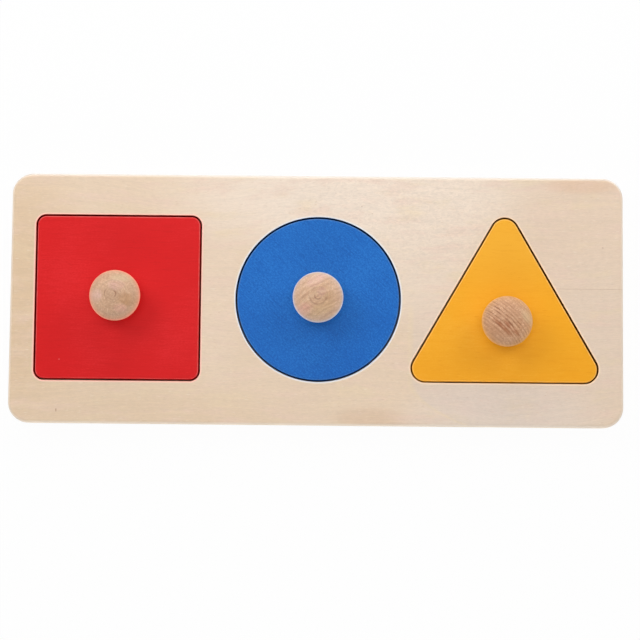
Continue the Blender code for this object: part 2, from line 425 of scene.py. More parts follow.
board = {
    "cornerRadius": 10 * mm,
    "topEdgeRadius": 2 * mm,
    "topEdgeSteps": 8,
    "underEdgeRadius": 1 * mm,
    "underEdgeSteps": 5,
    "glueLineChamfer": 0.12 * mm,
    "chamferSteps": 2,
    "recessChamfer": 0.22 * mm,
    "recessSteps": 3,
    "inlayGap": 0.65 * mm,
    "cutterOverrun": 1 * mm,
}
veneer = {
    "ground": seen(229, 206, 181),
    "tints": [                   # middle and reach of each oval patch of wood, its colour and share
        ((-150, 0), (50, 85), seen(219, 191, 158), 0.85),
        ((-95, -62), (100, 30), seen(222, 197, 168), 0.7),
        ((-47, 5), (14, 60), seen(231, 209, 187), 0.7),
        ((20, 52), (112, 40), seen(237, 220, 203), 1.0),
        ((52, 22), (30, 42), seen(234, 216, 198), 0.8),
        ((128, 35), (48, 38), seen(228, 205, 183), 0.9),
        ((132, -18), (40, 48), seen(226, 205, 185), 0.9),
        ((90, -56), (58, 24), seen(227, 209, 193), 1.0),
        ((128, 56.5), (24, 5), seen(222, 184, 154), 0.45),
        ((26, -57), (22, 7), seen(215, 184, 156), 0.5),
    ],
    "pale": seen(240, 226, 210),
    "pink": seen(231, 203, 186),
    "straw": seen(230, 210, 176),
    "grey": seen(221, 204, 191),
    "reddish": seen(206, 172, 142),
    "dark": seen(176, 136, 104),
    "sandedAndHighlight": seen(238, 226, 212),
    "backEdgeShade": seen(218, 212, 206),
    "walls": {"square": seen(160, 6, 3), "disc": seen(14, 38, 74), "triangle": seen(92, 46, 12),
              "triangleFrontLit": seen(206, 138, 62)},
    "rimHighlights": {"square": seen(255, 154, 134), "disc": seen(190, 218, 255), "triangle": seen(255, 210, 152)},
    "lipHighlights": {"square": seen(255, 208, 190), "disc": seen(240, 235, 230), "triangle": seen(248, 220, 194)},
    "lipHighlightShare": 0.85,
    "curly": ((38, 40), (76, 36)),                           # middle and reach
    "seam": {"height": 6.4, "from": 111, "width": 0.26},     # its y, the x where it starts
    "patch": {"edge": 45.2, "turn": -38, "bend": 0.058},     # its left border's x, and how that bends below y
    "marks": [((-124.2, -54.0), (0.4, 1.1), 0.8),            # small dark marks: middle, reach, share
              ((137.6, 26.4), (0.6, 0.5), 0.45),
              ((21.5, 45.5), (0.45, 0.4), 0.5),
              ((26.5, 42.0), (0.4, 0.35), 0.4)],
    "frontWallY": -39.5,         # in front of this lies the triangular recess's front wall
    "wallTop": 11.79,
}


def fromOutline(x, y):
    # How far inside the board's outline a point is, in millimetres
    radius = board["cornerRadius"] / mm
    overX = (abs(x) - (boardHigh.x / mm - radius)) | 0.0
    overY = (abs(y) - (boardHigh.y / mm - radius)) | 0.0
    return radius - (overX * overX + overY * overY) ** 0.5


def fromRecess(finish, shape, x, y):
    # How far outside a recess's edge a point of the board's top is, in millimetres
    low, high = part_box(shape + "_inlay")
    centre = knobCentre(shape) / mm
    x, y = x - centre.x, y - centre.y
    gap = board["inlayGap"] / mm
    half = (high.x - low.x) / 2 / mm + gap
    fromMiddle = (x * x + y * y) ** 0.5
    if shape == "disc":
        return fromMiddle - half
    corner = shapes[shape]["cornerRadius"] / mm
    if shape == "square":
        overX = (abs(x) - (half - corner - gap)) | 0.0
        overY = (abs(y) - (half - corner - gap)) | 0.0
        return (overX * overX + overY * overY) ** 0.5 - corner - gap
    inner = ((high.y - low.y) / mm + corner) / 3 - corner
    slopeX, slopeY = abs(x) * math.cos(math.pi / 6), y * math.sin(math.pi / 6)
    fromSide = (0 - y) | (slopeX + slopeY)
    fromFrontCorner = ((abs(x) - inner * math.sqrt(3)) ** 2 + (y + inner) ** 2) ** 0.5
    fromBackCorner = (x * x + (y - inner * 2) ** 2) ** 0.5
    fromCorner = 0 - ((0 - fromFrontCorner) | (0 - fromBackCorner))
    arcStart = math.hypot(inner + corner + gap, inner * math.sqrt(3))
    onArc = finish.ramp(fromMiddle, arcStart - 0.2, arcStart + 0.4)
    return (fromSide - inner) * (1 - onArc) + fromCorner * onArc - corner - gap


def makeVeneer():
    # Fine-sanded pale face veneer with its plies below, painted shade on the recess walls tinted with the
    # paint of each shape, and painted highlights along the recess edges and the board's rounded edge
    finish = Finish("facePly", Specular_IOR_Level=0.12)
    x, y, z = finish.place()
    sway = (finish.noise(x * 0.010, y * 0.022, 4.0, detail=1) - 0.5) * 22
    across = y + sway
    colour = veneer["ground"]
    for centre, reach, tint, share in veneer["tints"]:
        colour = finish.blend(colour, tint, finish.spot(x, y, centre, reach) * share)
    blush = finish.ramp(finish.noise(x * 0.04, across * 0.13, 9.0, detail=4, rough=0.65), 0.46, 0.7)
    colour = finish.blend(colour, veneer["pink"], blush * 0.5)
    straw = finish.ramp(finish.noise(x * 0.035, across * 0.12, 15.0, detail=4, rough=0.65), 0.5, 0.74)
    colour = finish.blend(colour, veneer["straw"], straw * 0.45)

    # A patch of greyer wood right of a curved border, and a seam between two strips
    patch = veneer["patch"]
    below = (patch["turn"] - y) | 0.0
    border = x - patch["edge"] - below * below * patch["bend"] + sway * 0.12
    inPatch = finish.ramp(border, -1.5, 2.5) * finish.ramp(y, 6, -24) * finish.ramp(x, 130, 80)
    colour = finish.blend(colour, veneer["grey"], inPatch * 0.45)
    borderLine = finish.line(border, 1.8) * finish.ramp(y, 0, -8)
    colour = finish.blend(colour, veneer["straw"], borderLine * 0.3)
    seam = veneer["seam"]
    seamLine = finish.line(y - seam["height"] + sway * 0.02, seam["width"])
    seamLine = seamLine * finish.ramp(x, seam["from"], seam["from"] + 8)

    # Curly figure in the palest wood, straight grain and short pores everywhere
    curly = finish.spot(x, y, *veneer["curly"])
    ripple = finish.noise(x * 0.34 + y * 0.15, y * 0.55 - x * 0.08, 3.0, detail=3, rough=0.6, swirl=1.4)
    grain = finish.noise(x * 0.03, across * 0.8, z * 0.8, detail=5, rough=0.65)
    fine = finish.noise(x * 0.3, across * 1.9, z * 1.9, detail=3, rough=0.7)
    flecks = finish.ramp(finish.noise(x * 0.42, across * 2.4, 12.0, detail=1), 0.62, 0.78)
    glints = finish.ramp(finish.noise(x * 0.35, across * 1.9, 31.0, detail=1), 0.62, 0.8)
    tone = 1 + (ripple - 0.5) * (curly * 0.26 + 0.1) + (grain - 0.5) * 0.15 + (fine - 0.5) * 0.2
    colour = finish.shade(colour, tone)
    colour = finish.blend(colour, veneer["reddish"], flecks * 0.36)
    colour = finish.blend(colour, veneer["pale"], glints * 0.5)
    marks = seamLine * 0.32
    for centre, reach, share in veneer["marks"]:
        marks = finish.spot(x, y, centre, reach) * share | marks
    colour = finish.blend(colour, veneer["dark"], marks)
    # Painted highlight: a pale line on the top face just outside each recess, tinted towards the paint of its
    # shape
    for shape, tint in veneer["lipHighlights"].items():
        lipHighlight = finish.ramp(fromRecess(finish, shape, x, y), 1.0, 0.55)
        colour = finish.blend(colour, tint, lipHighlight * veneer["lipHighlightShare"])

    # Below the veneer come the plies. Where the board's edge is rounded it is painted pale, partly for sanding
    # and partly as a painted highlight
    edge, edgeRelief = plyEdge(finish, x, y, z, plywood["faceGlue"])
    topPly = plywood["faceGlue"][-1]
    onTop = finish.ramp(z, topPly - 0.04, topPly + 0.04)
    colour = finish.blend(edge, colour, onTop)
    inside = finish.ramp(fromOutline(x, y), 2.1, 2.3)
    toX, toY, toZ = finish.facing()
    rounding = finish.ramp(toZ, 0.97, 0.75) * finish.ramp(toZ, 0.0, 0.4) * (1 - inside)
    # Painted highlight, together with sanded wood: the rounded edge is painted paler
    colour = finish.blend(colour, veneer["sandedAndHighlight"], rounding * 0.5)
    # Painted shade: the rounded edge that faces the back is painted greyer
    colour = finish.blend(colour, veneer["backEdgeShade"], rounding * finish.ramp(toY, 0.2, 0.5) * 0.5)

    # Inside the recesses the walls carry painted shade, dark and tinted with the paint of their shape
    centre = knobCentre("disc") / mm
    byDisc = finish.ramp(((x - centre.x) ** 2 + (y - centre.y) ** 2) ** 0.5, 43, 42)
    byTriangle = finish.ramp(x, 0, 1)
    walls, rimHighlights = veneer["walls"], veneer["rimHighlights"]
    # The triangle's front wall is painted lighter than its other walls, as painted light from the front
    frontWall = finish.ramp(y, veneer["frontWallY"] + 0.5, veneer["frontWallY"] - 0.5)
    wallShade = finish.blend(walls["triangle"], walls["triangleFrontLit"], frontWall)
    wallShade = finish.blend(finish.blend(walls["square"], wallShade, byTriangle), walls["disc"], byDisc)
    rim = finish.blend(finish.blend(rimHighlights["square"], rimHighlights["triangle"], byTriangle), rimHighlights["disc"], byDisc)
    # Painted highlight on the chamfer round each recess, tinted with the paint of its shape
    colour = finish.blend(colour, rim, inside * finish.ramp(toZ, 0.998, 0.95) * 0.9)
    wall = inside * finish.ramp(z, veneer["wallTop"] + 0.03, veneer["wallTop"] - 0.03)
    # The painted shade on the walls is mottled, from 0.75 to 1.25 of its colour
    wallShadeMottle = finish.noise(x * 0.6, y * 0.6, z * 0.15, detail=2)
    colour = finish.blend(colour, finish.shade(wallShade, wallShadeMottle * 0.5 + 0.75), wall * 0.97)
    relief = grain * 0.6 + fine * 0.4 - flecks * 0.5 - marks * 0.5 + edgeRelief * (1 - onTop)
    roughness = 0.52 + (fine - 0.5) * 0.16 + wall * 0.4 + (1 - onTop) * 0.1
    return finish.done(colour, roughness, finish.bump(relief, 0.22, 0.12 * mm))


def makeBarePly(name, glueHeights):
    # Uncoated plywood, as on the base panel and under the shapes
    finish = Finish(name, Specular_IOR_Level=0.2)
    x, y, z = finish.place()
    sway = (finish.noise(x * 0.012, y * 0.03, 7.0, detail=1) - 0.5) * 16
    edge, relief = plyEdge(finish, x, y, z, glueHeights)
    toX, toY, toZ = finish.facing()
    flat = finish.ramp(abs(toZ), 0.8, 0.95)
    grain = finish.noise(x * 0.03, (y + sway) * 0.8, 2.0, detail=5, rough=0.65)
    flecks = finish.ramp(finish.noise(x * 0.3, (y + sway) * 2.4, 5.0, detail=1), 0.62, 0.76)
    face = finish.blend(plywood["bareDark"], plywood["barePale"], finish.ramp(grain, 0.3, 0.7))
    face = finish.blend(face, plywood["bareFlecks"], flecks * 0.4)
    colour = finish.blend(edge, face, flat)
    height = grain * 0.7 - flecks + relief * (1 - flat)
    return finish.done(colour, 0.62 + (grain - 0.5) * 0.15, finish.bump(height, 0.3, 0.15 * mm))


def addPanelBlock(name, bottom, top):
    radius = board["cornerRadius"]
    x, y = boardHigh.x - radius, boardHigh.y - radius
    return addRoundedBlock(name, [(x, y), (-x, y), (-x, -y), (x, -y)], radius, bottom, top)


def makeBasePanel():
    panel = addPanelBlock("basePanel", boardLow.z, baseTop)
    startEditing(panel)
    bevelRim(panel, boardLow.z, board["underEdgeRadius"], board["underEdgeSteps"])
    bevelRim(panel, baseTop, board["glueLineChamfer"], board["chamferSteps"])
    stopEditing()
    finishShape(panel)
    dress(panel, "board", "base_panel", "base_plywood", makeBarePly("basePly", plywood["baseGlue"]))


def makeFacePanel():
    panel = addPanelBlock("facePanel", baseTop, boardHigh.z)
    startEditing(panel)
    bevelRim(panel, boardHigh.z, board["topEdgeRadius"], board["topEdgeSteps"])
    bevelRim(panel, baseTop, board["glueLineChamfer"], board["chamferSteps"])
    stopEditing()
    for shape in shapes:
        cutter = addShapeBlock("cutter", shape, board["inlayGap"], baseTop - board["cutterOverrun"],
                               boardHigh.z + board["cutterOverrun"])
        carve(panel, cutter)
    startEditing(panel)
    bevelRim(panel, boardHigh.z, board["recessChamfer"], board["recessSteps"])
    stopEditing()
    finishShape(panel)
    dress(panel, "board", "face_panel", "face_plywood", makeVeneer())


makeBasePanel()
makeFacePanel()
print("board done")


# Inlays: painted on top and round the sides, bare underneath, with a countersunk hole for the screw

inlay = {
    "topEdgeRadius": 0.8 * mm,
    "topEdgeSteps": 7,
    "underEdgeRadius": 0.5 * mm,
    "underEdgeSteps": 5,
    "restGap": 0.02 * mm,
    "screwHoleRadius": 1.6 * mm,
    "countersinkRadius": 3.15 * mm,
    "holeSteps": 48,
    "bareGlue": [4.6, 6.1, 7.6, 9.1, 10.6],      # heights of the glue lines
}

# Fade paints light and shade across each shape. It gives the y where the deeper tone, a painted shade towards
# the front, starts and is full, its share, and then the same for the lighter tone, a painted light towards the
# back. Each chip of paint has its middle, reach and share
paints = {
    "square": {"name": "redPaint", "slot": "red_paint", "colour": seen(212, 18, 21), "deep": seen(190, 10, 14),
               "light": seen(226, 42, 46), "wornAndHighlight": seen(216, 104, 100), "side": seen(176, 4, 3),
               "frontSideLit": seen(186, 8, 6), "grainTurn": 0, "streaks": 0.24, "dashes": 0.6, "glints": 0.35,
               "mottle": 0.45, "shadeAndLightFade": (0, -30, 0.12, 20, 60, 0.1), "seed": 3.0,
               "chips": [((-123.2, -29.7), (0.55, 0.4), 0.7)]},
    "disc": {"name": "bluePaint", "slot": "blue_paint", "colour": seen(20, 100, 186),
             "deep": seen(10, 76, 158), "light": seen(44, 126, 206), "wornAndHighlight": seen(92, 132, 178),
             "side": seen(9, 52, 114), "frontSideLit": seen(9, 54, 118), "grainTurn": -42, "streaks": 0.35,
             "dashes": 0.6, "glints": 0.45, "mottle": 1.6, "shadeAndLightFade": (-15, -45, 0.2, 10, 60, 0.15),
             "seed": 11.0, "chips": []},
    "triangle": {"name": "yellowPaint", "slot": "yellow_paint", "colour": seen(244, 168, 30),
                 "deep": seen(228, 140, 8), "light": seen(250, 184, 60), "wornAndHighlight": seen(252, 206, 124),
                 "side": seen(186, 110, 22), "frontSideLit": seen(232, 150, 44), "grainTurn": 0, "streaks": 0.2,
                 "dashes": 0.5, "glints": 0.35, "mottle": 0.4, "shadeAndLightFade": (-14, -34, 0.12, -5, 32, 0.55),
                 "seed": 19.0, "chips": []},
}


def makePaint(shape):
    # Satin paint thin enough for the wood's grain to show through it
    look = paints[shape]
    seed = look["seed"]
    finish = Finish(look["name"], Specular_IOR_Level=0.15)
    x, y, z = finish.place()
    toX, toY, toZ = finish.facing()
    along, across = turned(x, y, look["grainTurn"])
    cloud = finish.noise(x * 0.03, y * 0.03, seed, detail=2)
    grain = finish.noise(along * 0.09, across * 0.9, z * 0.9 + seed, detail=4, rough=0.65)
    threads = finish.noise(along * 0.2, across * 1.9, z * 1.9 + seed, detail=2, rough=0.6)
    mottle = finish.noise(along * 1.0, across * 1.6, z + seed, detail=2, rough=0.6)
    dashes = finish.ramp(finish.noise(along * 0.24, across * 2.1, seed + 5, detail=1), 0.66, 0.78)
    dashes = dashes * look["dashes"]
    glints = finish.ramp(finish.noise(along * 0.4, across * 1.7, seed + 9, detail=1), 0.68, 0.8)
    glints = glints * look["glints"]
    nearer, nearest, deepShare, farther, farthest, lightShare = look["shadeAndLightFade"]
    # Painted shade: deeper towards the front; painted light: lighter towards the back
    colour = finish.blend(look["colour"], look["deep"], finish.ramp(y, nearer, nearest) * deepShare)
    colour = finish.blend(colour, look["light"], finish.ramp(y, farther, farthest) * lightShare)
    colour = finish.blend(colour, look["deep"], finish.ramp(grain, 0.5, 0.25) * look["streaks"])
    share = grain * 0.2 + threads * 0.35 + cloud * 0.45 + (mottle - 0.5) * look["mottle"]
    colour = finish.blend(colour, look["light"], finish.ramp(share, 0.45, 0.75) * 0.6)
    colour = finish.blend(colour, look["deep"], finish.ramp(share, 0.42, 0.2) * 0.5)
    colour = finish.blend(colour, look["deep"], dashes)
    colour = finish.blend(colour, look["light"], glints)

    # Painted highlight where the top rounds over, weaker on the front, and painted shade down the sides
    rim = finish.ramp(toZ, 0.9995, 0.965) * finish.ramp(toZ, 0.72, 0.86)
    front = finish.ramp(toY, -0.15, -0.45)
    # The sides are painted darker as painted shade, and the front sides lighter as painted light
    side = finish.blend(look["side"], look["frontSideLit"], front)
    colour = finish.blend(colour, side, finish.ramp(toZ, 0.8, 0.55))
    # The painted highlight's strength varies along the edge
    highlightVariation = finish.ramp(finish.noise(x * 0.35, y * 0.35, seed + 2, detail=2), 0.3, 0.7)
    colour = finish.blend(colour, look["wornAndHighlight"], rim * (highlightVariation * 0.45 + 0.4) * (1 - front * 0.6))
    for centre, reach, share in look["chips"]:
        colour = finish.blend(colour, look["wornAndHighlight"], finish.spot(x, y, centre, reach) * share)
    relief = grain * 0.5 + threads * 0.35 + mottle * look["mottle"] * 0.3 - dashes * 0.5
    roughness = 0.46 + (threads - 0.5) * 0.12 + (mottle - 0.5) * 0.08 + rim * 0.06
    return finish.done(colour, roughness, finish.bump(relief, 0.2, 0.12 * mm))


def drillInlay(piece, shape, low, high):
    # The screw's hole, wider at the underside where its head sinks in
    centre = knobCentre(shape)
    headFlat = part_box(shape + "_knob_screw")[0].z
    hole, sink = inlay["screwHoleRadius"], inlay["countersinkRadius"]
    profile = [(sink, low - mm), (sink, headFlat), (hole, headFlat + sink - hole),
               (hole, high + mm), (0, high + mm)]
    cutter = addTurned("cutter", centre.x, centre.y, profile, inlay["holeSteps"])
    turnFacesOut(cutter)
    carve(piece, cutter)


def barePart(centre):
    # Test for the faces that carry no paint
    def test(face):
        place = face.calc_center_median()
        nearHole = math.hypot(place.x - centre.x, place.y - centre.y) < inlay["countersinkRadius"] + same
        return face.normal.z < -0.9 or (nearHole and face.normal.z < 0.9)
    return test


def makeInlay(shape, bareWood):
    low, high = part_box(shape + "_inlay")
    bottom = baseTop + inlay["restGap"]
    piece = addShapeBlock(shape + "Inlay", shape, 0.0, bottom, high.z)
    startEditing(piece)
    bevelRim(piece, bottom, inlay["underEdgeRadius"], inlay["underEdgeSteps"])
    bevelRim(piece, high.z, inlay["topEdgeRadius"], inlay["topEdgeSteps"])
    stopEditing()
    drillInlay(piece, shape, bottom, high.z)
    finishShape(piece)
    while len(piece.data.materials) < 2:
        piece.data.materials.append(None)
    startEditing(piece)
    pick(piece, "FACE", barePart(knobCentre(shape)))
    piece.active_material_index = 1
    bpy.ops.object.material_slot_assign()
    stopEditing()
    dress(piece, shapes[shape]["body"], shape + "_inlay", paints[shape]["slot"], makePaint(shape), bareWood)


inlayUnderside = makeBarePly("inlayUnderside", inlay["bareGlue"])
for shape in shapes:
    makeInlay(shape, inlayUnderside)
print("inlays done")


# Knobs: one turned shape, copied to each seat, each cut from its own piece of beech

knob = {
    "steps": 120,
    "footRadius": 7.1 * mm,
    "footChamfer": 0.3 * mm,
    "neckRadius": 6.25 * mm,
    "neckHeight": 4.3 * mm,
    "widestHeight": 11.5 * mm,
    "boreRadius": 1.6 * mm,
    "boreDepth": 9.8 * mm,
    "neckSteps": 9,
    "bowlSteps": 14,
    "domeSteps": 26,
    "bandFrom": 21.4,            # heights between which the painted highlight band of the rim fades in
    "bandTo": 23.6,
    "nib": [(2.3, 0.06), (2.1, 0.075), (2.0, 0.1), (1.9, 0.07), (1.55, 0.06), (1.42, 0.09),
            (1.33, 0.13), (1.22, 0.08), (1.0, 0.03), (0.6, 0.006), (0.0, 0.0)],      # radius and drop
}

# Heart is the middle of the growth rings, spacing the width of one, lean the turn of the patches. Clearest
# gives the middle and reach of the place where the lines show fully, and their share elsewhere
# Side is the colour of the painted highlight band round the rim, and rim its share
beech = {
    "square": {"heart": (-21, -40), "spacing": 2.2, "wander": 2.6, "lines": 0.14, "rays": 0.9, "arcs": 1.4,
               "mottle": 0.5, "lean": 0, "rim": 0.5, "front": 0.14, "fuzz": 1.0, "fuzzSpread": 0.5,
               "fuzzTint": seen(255, 170, 140), "clearest": ((0, 0), (12, 12), 0.8),
               "wood": seen(194, 157, 127), "dark": seen(150, 108, 80), "pale": seen(226, 200, 172),
               "side": seen(252, 176, 148),
               "patches": [((6.5, -2.5), (6, 4), seen(176, 134, 96)),
                           ((3.5, -6.5), (4, 2.6), seen(208, 160, 140)),
                           ((1.5, 4.5), (5, 3.5), seen(204, 162, 146)),
                           ((-8, -0.5), (4, 4), seen(212, 176, 160)),
                           ((4.5, 8), (8, 2.6), seen(200, 176, 142))], "seed": 2.0},
    "disc": {"heart": (30, -52), "spacing": 2.6, "wander": 2.2, "lines": 0.4, "rays": 0.3, "arcs": 1.2,
             "mottle": 0.6, "lean": 30, "rim": 0.28, "front": 0.15, "fuzz": 1.0, "fuzzSpread": 0.49,
             "fuzzTint": seen(232, 242, 255), "clearest": ((0, 0), (12, 12), 0.8),
             "wood": seen(200, 160, 126), "dark": seen(154, 106, 78), "pale": seen(230, 202, 172),
             "side": seen(230, 237, 242),
             "patches": [((-9, -2), (6, 3.5), seen(212, 160, 138)), ((3, 7), (7, 3), seen(216, 172, 156)),
                         ((-1, -6), (8, 3.5), seen(200, 164, 122)), ((2.5, 1), (3, 3), seen(196, 150, 128)),
                         ((4.5, -2.5), (4, 2.5), seen(186, 146, 106))], "seed": 8.0},
    "triangle": {"heart": (-42, -44), "spacing": 1.5, "wander": 1.7, "lines": 0.95, "rays": 0.2, "arcs": 0.3,
                 "mottle": 0.8, "rim": 0.2, "lean": -43, "front": 0.15, "fuzz": 0.6, "fuzzSpread": 0.6,
                 "fuzzTint": seen(255, 198, 104), "clearest": ((-1, -0.8), (19, 6.5), 0.35),
                 "wood": seen(188, 140, 107), "dark": seen(128, 76, 52), "pale": seen(222, 186, 156),
                 "side": seen(246, 196, 126),
                 "patches": [((0.5, -4.0), (8, 1.7), seen(158, 92, 58)),
                             ((3.5, -1.6), (7, 1.3), seen(160, 92, 60)),
                             ((6.0, 7.5), (6, 3), seen(204, 172, 136)),
                             ((-2.0, -9.5), (9, 4), seen(180, 132, 100))],
                 "seed": 14.0},
}


def knobProfile(foot, top, widestRadius):
    # Radius and height of every ring, from the end of the bore, out round the foot and up to the nib
    bore = knob["boreRadius"]
    chamfer = knob["footChamfer"]
    neckHeight = foot + knob["neckHeight"]
    widestHeight = foot + knob["widestHeight"]
    footRadius, neckRadius = knob["footRadius"], knob["neckRadius"]
    boreEnd = foot + knob["boreDepth"]
    points = [(bore * 0.2, boreEnd + bore * 0.4), (bore, boreEnd), (bore, foot + chamfer),
              (bore + chamfer, foot), (footRadius - chamfer, foot), (footRadius, foot + chamfer)]
    for step in range(1, knob["neckSteps"] + 1):
        share = step / knob["neckSteps"]
        points.append((neckRadius + (footRadius - neckRadius) * (1 - share) ** 2,
                       foot + chamfer + (neckHeight - foot - chamfer) * share))
    for step in range(1, knob["bowlSteps"] + 1):
        angle = math.pi / 2 * step / knob["bowlSteps"]
        points.append((neckRadius + (widestRadius - neckRadius) * math.sin(angle),
                       widestHeight - (widestHeight - neckHeight) * math.cos(angle)))
    nibRadius, nibDrop = knob["nib"][0]
    domeTop = top - nibDrop * mm
    for step in range(1, knob["domeSteps"]):
        angle = math.pi / 2 * step / knob["domeSteps"]
        radius = widestRadius * math.cos(angle)
        if radius > nibRadius * mm * 1.1:
            points.append((radius, widestHeight + (domeTop - widestHeight) * math.sin(angle)))
    return points + [(radius * mm, top - drop * mm) for radius, drop in knob["nib"]]


def makeBeech(shape):
    # Turned beech: growth rings round a far heart, rays, pores and the marks of the lathe
    look = beech[shape]
    seed = look["seed"]
    centre = knobCentre(shape) / mm
    heartX, heartY = look["heart"]
    finish = Finish(shape + "Beech", Specular_IOR_Level=0.35, Sheen_Weight=look["fuzz"],
                    Sheen_Roughness=look["fuzzSpread"], Sheen_Tint=look["fuzzTint"])
    x, y, z = finish.place()
    x, y = x - centre.x, y - centre.y
    toX, toY, toZ = finish.facing()
    wander = (finish.noise(x * 0.1, y * 0.1, z * 0.03 + seed, detail=1) - 0.5) * look["wander"]
    fromHeart = ((x - heartX) ** 2 + (y - heartY) ** 2) ** 0.5 + wander
    bearing = finish.node("ShaderNodeMath", {"operation": "ARCTAN2"}, {0: y - heartY, 1: x - heartX})
    along = bearing * math.hypot(heartX, heartY)

    # One thin dark line a year, broken along its length and of uneven strength
    drift = (finish.noise(fromHeart * 0.35, along * 0.02, seed + 6, detail=2) - 0.5) * 3.4
    rings = (fromHeart + drift) * (2 * math.pi / look["spacing"])
    year = finish.node("ShaderNodeMath", {"operation": "SINE"}, {0: rings})
    broken = finish.noise(fromHeart * 0.7, along * 0.28, z * 0.03 + seed + 4, detail=2)
    leanX, leanY = turned(x, y, look["lean"])
    clearest, reach, elsewhere = look["clearest"]
    clear = finish.spot(leanX, leanY, clearest, reach) * (1 - elsewhere) + elsewhere
    lines = finish.ramp(year, 0.0, 1.0) * finish.ramp(broken, 0.28, 0.7) * clear
    between = finish.ramp(year, -0.5, -1.0) * finish.ramp(broken, 0.65, 0.35) * clear
    rays = finish.ramp(finish.noise(fromHeart * 0.3, along * 2.2, z * 0.1 + seed, detail=1), 0.6, 0.74)
    mottle = finish.noise(x * 1.3, y * 1.3, z * 0.08 + seed, detail=3, rough=0.7)
    specks = finish.noise(x * 2.1, y * 2.1, z * 0.12 + seed, detail=2, rough=0.7)
    colour = finish.blend(look["wood"], look["pale"], finish.ramp(mottle, 0.48, 0.75) * look["mottle"])
    for place, reach, stain in look["patches"]:
        colour = finish.blend(colour, stain, finish.spot(leanX, leanY, place, reach) * (broken * 1.5 - 0.05))
    colour = finish.blend(colour, look["pale"], between * look["lines"] * 0.6)
    colour = finish.blend(colour, look["dark"], lines * look["lines"])
    colour = finish.blend(colour, look["dark"], rays * look["rays"] * 0.4)

    # Marks of the lathe: arcs round the middle that fade in and out, and the small nib on top
    fromAxis = (x * x + y * y) ** 0.5
    lathe = finish.noise(fromAxis * 1.3, z * 0.9, seed, detail=2) - 0.5
    fading = finish.ramp(finish.noise(x * 0.22, y * 0.22, seed + 8, detail=1), 0.4, 0.62)
    nib = finish.line(fromAxis - 1.5, 0.45)
    for radius, width, share in ((3.9, 0.5, 0.7), (5.6, 0.4, 0.35)):
        nib = nib | finish.line(fromAxis - radius, width) * share
    colour = finish.blend(colour, look["dark"], finish.ramp(toZ, 0.5, 0.8) * nib * fading * look["arcs"] * 0.6)
    # Painted shade: the top is painted darker towards its middle
    centreShade = finish.ramp(fromAxis, 8.0, 1.0) * 0.06
    # Painted shade: the wood is painted darker towards the front of the knob
    front = finish.ramp(y, -3, -11) * look["front"]
    tone = 1 + (specks - 0.5) * 0.44 + (mottle - 0.5) * 0.28 + lathe * look["arcs"] * 0.3 - centreShade - front
    colour = finish.shade(colour, tone)

    # Painted highlight: a band round the widest ring is painted paler than the top, in a tint near the paint
    # around the knob, and fades out below it
    highlightBand = finish.ramp(toZ, 0.5, 0.28) * finish.ramp(z, knob["bandFrom"], knob["bandTo"])
    colour = finish.blend(colour, look["side"], highlightBand * look["rim"])
    relief = lathe * 0.6 + specks * 0.35 - lines * look["lines"] * 0.3
    roughness = 0.5 + (specks - 0.5) * 0.2 + lines * 0.05
    return finish.done(colour, roughness, finish.bump(relief, 0.25, 0.1 * mm))


def makeKnobs():
    low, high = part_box("square_knob")
    first = knobCentre("square")
    profile = knobProfile(boardHigh.z, high.z, (high.x - low.x) / 2)
    master = addTurned("squareKnob", first.x, first.y, profile, knob["steps"])
    finishShape(master)
    for shape, piece in onePerShape(master, "Knob"):
        dress(piece, shapes[shape]["body"], shape + "_knob", "beech", makeBeech(shape))


makeKnobs()
print("knobs done")


# Screws: zinc-plated wood screws with a flat countersunk head and a cross recess

screw = {
    "steps": 48,
    "shankRadius": 1.5 * mm,
    "rootRadius": 1.08 * mm,
    "headRim": 0.2 * mm,
    "headChamfer": 0.08 * mm,
    "plainShank": 5.0 * mm,
    "stepDown": 0.6 * mm,        # from the plain shank to the thread's root
    "pitch": 1.3 * mm,
    "threadHalfHeight": 0.34 * mm,
    "threadSteps": 24,
    "threadSunk": 0.08 * mm,
    "threadStart": 0.2 * mm,
    "threadEnd": 0.5 * mm,       # short of the tip
    "tip": 3.0 * mm,
    "tipSteps": 15,
    "tipShare": 0.04,            # what is left of the width at the very tip
    "crossSpan": 3.4 * mm,
    "crossWidth": 0.9 * mm,
    "crossDepth": 1.2 * mm,
    "crossFloor": (0.45, 0.6, 1),
    "zinc": seen(188, 190, 190),
    "warmZinc": seen(204, 200, 186),
    "dullZinc": seen(150, 151, 150),
}


def makeZinc():
    # Bright zinc plating: faint cloudy tint, fine turning lines and dull spots
    finish = Finish("zincPlate", Metallic=1.0)
    x, y, z = finish.place()
    cloud = finish.noise(x * 0.9, y * 0.9, z * 0.9, detail=3)
    dull = finish.ramp(finish.noise(x * 2.5, y * 2.5, z * 2.5, detail=3, rough=0.65), 0.5, 0.75)
    lines = finish.noise(x * 0.4, y * 0.4, z * 14, detail=2)
    colour = finish.blend(screw["zinc"], screw["warmZinc"], finish.ramp(cloud, 0.4, 0.65))
    colour = finish.blend(colour, screw["dullZinc"], dull * 0.45)
    roughness = 0.28 + dull * 0.2 + (lines - 0.5) * 0.12
    return finish.done(colour, roughness, finish.bump(lines * 0.5 + cloud, 0.15, 0.05 * mm))


